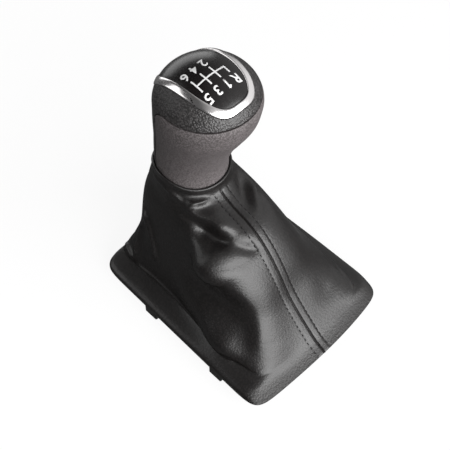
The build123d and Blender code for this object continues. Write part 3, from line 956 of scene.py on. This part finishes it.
def fold_height(points, normals, stops, height, left, right, runout):
    """Height of one fold over the leather: a ridge, or a hollow, with its own width on either side."""
    path = fold_path(stops)
    lengths = np.linalg.norm(np.diff(path, axis=0), axis=1)
    travelled = np.concatenate([[0.0], np.cumsum(lengths)])
    most = np.zeros(points.shape[:2])
    for start, end, length, before in zip(path, path[1:], lengths, travelled):
        way = (end - start) / length
        step = np.clip((points - start) @ way, 0.0, length)
        off = points - start - step[:, :, None] * way
        reach = np.maximum(np.linalg.norm(off, axis=2), NEAR)
        side = np.sum(np.cross(normals, way) * off, axis=2) / reach
        width = mix(right, left, 0.5 + 0.5 * side) * MM
        along = before + step
        ends = ease(0.0, runout * MM, along) * ease(0.0, runout * MM, travelled[-1] - along)
        most = np.maximum(most, ends * np.exp(-((reach / width) ** 2)))
    return height * MM * most


def seam_relief(points):
    """Sewn seam: a valley between the panels, lifted allowances beside it and pulled-in stitch rows."""
    off = np.abs(points[:, :, 0]) / MM
    lift = SEAM_LIFT * (1 - ease(*SEAM_LIFT_END, off))
    valley = SEAM_VALLEY * np.exp(-((off / SEAM_SOFTNESS) ** 2))
    pull = STITCH_PULL * np.exp(-(((off - STITCH_LINE) / SEAM_SOFTNESS) ** 2))
    return (lift - valley - pull) * MM


def gaiter_points():
    rows = gaiter_rows()
    points = np.stack([outline(row, headings((row[1] - row[2]) / 2)) for row in rows])
    rises = np.array([row[-1] for row in rows])
    normals = normals_of(points)
    folded = (ease(*FOLD_START, rises) * ease(*FOLD_END, rises))[:, None]
    sewn = (ease(*SEAM_START, rises) * ease(*SEAM_END, rises))[:, None]
    height = seam_relief(points) * sewn
    for fold in FOLDS.values():
        height = height + fold_height(points, normals, *fold) * folded
    return points + normals * height[:, :, None], rises


def sheet_mesh(name, points):
    """Closed ring of leather through a grid of points."""
    rows, columns = points.shape[:2]
    obj = patch(name, columns, rows - 1, lambda u, v: tuple(
        points[round(v * (rows - 1)), round(u * columns) % columns]
    ))
    weld(obj, NEAR)
    return obj


def leather_pieces():
    points, rises = gaiter_points()
    split = int(np.argmax(rises >= SPLIT_RISE))
    lower = sheet_mesh("gaiter_lower_leather", points[: split + 1])
    upper = sheet_mesh("gaiter_upper_leather", points[split:])
    for obj in (lower, upper):
        thicken(obj, LEATHER, 0)
        smooth(obj, 60)
    return lower, upper, points


def stitch_rows(points):
    """Stitches along both sides of the front and rear seams, as a lower and an upper piece."""
    columns = points.shape[1]
    index = SEAM_LINES.index(STITCH_LINE)
    rear_right, front_left = index, columns // 2 + index
    front_right, rear_left = columns // 2 - index, columns - index
    normals = normals_of(points)
    groups = {"stitches_lower": [], "stitches_upper": []}
    split_z = mix(CREASE_Z, RIM_Z, SPLIT_RISE)
    first, last = HEM_STEPS, HEM_STEPS + FLANGE_STEPS + BELLOWS_STEPS
    for column in (rear_right, rear_left, front_right, front_left):
        line, out = points[first:last, column], normals[first:last, column]
        lengths = np.concatenate([[0], np.cumsum(np.linalg.norm(np.diff(line, axis=0), axis=1))])
        for middle in np.arange(STITCH_PITCH, lengths[-1] - STITCH_PITCH / 2, STITCH_PITCH):
            ends = [middle - STITCH_LENGTH / 2, middle, middle + STITCH_LENGTH / 2]
            spots = [
                Vector([np.interp(end, lengths, line[:, axis]) for axis in range(3)]) for end in ends
            ]
            up = Vector([np.interp(middle, lengths, out[:, axis]) for axis in range(3)])
            way = (spots[2] - spots[0]).normalized()
            side = up.cross(way).normalized()
            turn = Matrix((way, side, way.cross(side))).transposed().to_4x4()
            group = "stitches_lower" if spots[1].z < split_z else "stitches_upper"
            groups[group].append(Matrix.Translation(spots[1]) @ turn)
    return [stitches(name, places) for name, places in groups.items()]


def stitches(name, places):
    """One row piece: a stitch modelled once, then copied to its places."""
    deselect()
    bpy.ops.mesh.primitive_uv_sphere_add(segments=8, ring_count=6, radius=1)
    pattern = bpy.context.object
    for vertex in pattern.data.vertices:
        vertex.co.x *= STITCH_LENGTH / 2
        vertex.co.y *= STITCH_RADIUS
        vertex.co.z *= STITCH_RADIUS
    copies = []
    for place in places:
        copy = pattern.copy()
        copy.data = pattern.data.copy()
        copy.data.transform(place)
        bpy.context.collection.objects.link(copy)
        copies.append(copy)
    bpy.data.objects.remove(pattern)
    obj = join(*copies)
    obj.name = name
    smooth(obj, 80)
    return obj


# Stage

def studio_floor():
    deselect()
    bpy.ops.mesh.primitive_plane_add(size=FLOOR_SIZE)
    floor = bpy.context.object
    floor.name = "studio_floor"
    material, tree, shader = new_material("pale_floor")
    shader.inputs["Roughness"].default_value = 1.0
    shader.inputs["Specular IOR Level"].default_value = 0.0
    glow = node(tree, "ShaderNodeEmission", Strength=1.0)
    seen = tree.nodes.new("ShaderNodeLightPath").outputs["Is Camera Ray"]
    colour = two_colours(tree, FLOOR_GREY, FLOOR_WHITE)
    share = maths(tree, "MULTIPLY", FLOOR_GLOW)
    blend = tree.nodes.new("ShaderNodeMixShader")
    link = tree.links.new
    link(seen, colour.inputs["Factor"])
    link(colour.outputs["Result"], shader.inputs["Base Color"])
    link(seen, share.inputs[0])
    link(share.outputs[0], blend.inputs[0])
    link(shader.outputs[0], blend.inputs[1])
    link(glow.outputs[0], blend.inputs[2])
    link(blend.outputs[0], tree.nodes["Material Output"].inputs["Surface"])
    floor.data.materials.append(material)


def studio_world():
    world = bpy.data.worlds.new("studio_world")
    bpy.context.scene.world = world
    world.use_nodes = True
    tree = world.node_tree
    back = tree.nodes["Background"]
    link = tree.links.new
    rays = tree.nodes.new("ShaderNodeLightPath")
    way = tree.nodes.new("ShaderNodeTexCoord")
    towards = maths(tree, "DOT_PRODUCT", STUDIO_BRIGHT_WAY, vector=True)
    shade = ramp(tree, STUDIO_TURN, STUDIO_SHADES)
    level = node(tree, "ShaderNodeMix", A=STUDIO_LEVEL)
    shown = maths(tree, "MAXIMUM")
    link(way.outputs["Generated"], towards.inputs[0])
    link(towards.outputs["Value"], shade.inputs["Value"])
    link(rays.outputs["Is Glossy Ray"], level.inputs["Factor"])
    link(shade.outputs[0], level.inputs["B"])
    link(level.outputs[0], shown.inputs[0])
    link(rays.outputs["Is Camera Ray"], shown.inputs[1])
    link(shown.outputs[0], back.inputs["Strength"])
    back.inputs["Color"].default_value = (1, 1, 1, 1)


def look_at(obj, place, aim):
    obj.rotation_euler = (Vector(aim) - Vector(place)).to_track_quat("-Z", "Y").to_euler()


def lamp(name, place, aim, size, watts):
    """Soft box of the given width and height, turned to a point."""
    deselect()
    bpy.ops.object.light_add(type="AREA", location=place)
    obj = bpy.context.object
    obj.name = name
    obj.data.shape = "RECTANGLE"
    obj.data.size, obj.data.size_y = size
    obj.data.energy = watts
    look_at(obj, place, aim)


def camera():
    deselect()
    bpy.ops.object.camera_add(location=CAMERA_PLACE)
    obj = bpy.context.object
    look_at(obj, CAMERA_PLACE, CAMERA_AIM)
    obj.data.lens = CAMERA_LENS
    obj.data.sensor_width = CAMERA_SENSOR
    obj.data.clip_start = CAMERA_NEAREST
    bpy.context.scene.camera = obj


# Build the scene

bpy.context.scene.view_settings.view_transform = "Standard"

leather = leather_finish()
frame_black = moulding_finish("frame_plastic", (0.008, 0.008, 0.008), (0.018, 0.018, 0.018), 0.5)
core_black = moulding_finish("core_moulding", (0.008, 0.008, 0.008), (0.016, 0.016, 0.016), 0.55)
bushing_grey = moulding_finish("bushing_plastic", (0.16, 0.16, 0.15), (0.24, 0.24, 0.23), 0.45)
tie_black = moulding_finish("tie_plastic", (0.007, 0.007, 0.007), (0.014, 0.014, 0.014), 0.4)

NODE_FINISHES = {
    "gaiter_frame": frame_black,
    "hem_retainer": frame_black,
    "knob_core": core_black,
    "lever_bushing": bushing_grey,
    "lever_clamp": steel_finish(),
    "gaiter_tie": tie_black,
}
for name, finish in NODE_FINISHES.items():
    dress(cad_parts[name], finish)

KNOB_PIECES = [
    (grip_skin, "grip_panel", grip_finish(), "grip_grain", 50),
    (head_skin, "head_cover", head_finish(), "head_grain", 50),
    (ring_trim, "chrome_ring", chrome_finish(), "ring_chrome", 60),
    (insert_cap, "pattern_insert", gloss_black_finish(), "insert_gloss", 40),
]
for make, replaced, finish, slot, angle in KNOB_PIECES:
    piece = make()
    smooth(piece, angle)
    dress(piece, finish, slot)
    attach(piece, "knob")
    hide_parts(replaced)

ink = pattern_print()
dress(ink, print_finish())
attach(ink, "knob")

lower_leather, upper_leather, leather_points = leather_pieces()
thread = thread_finish()
lower_stitches, upper_stitches = stitch_rows(leather_points)
for piece in (lower_leather, upper_leather):
    dress(piece, leather, "gaiter_leather")
    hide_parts("gaiter_right_panel", "gaiter_left_panel")
for piece in (lower_stitches, upper_stitches):
    dress(piece, thread)
for piece in (lower_leather, lower_stitches):
    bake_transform(piece)
for piece in (upper_leather, upper_stitches):
    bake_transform(piece)

studio_floor()
studio_world()
for name, setting in LAMPS.items():
    lamp(name, *setting)
camera()
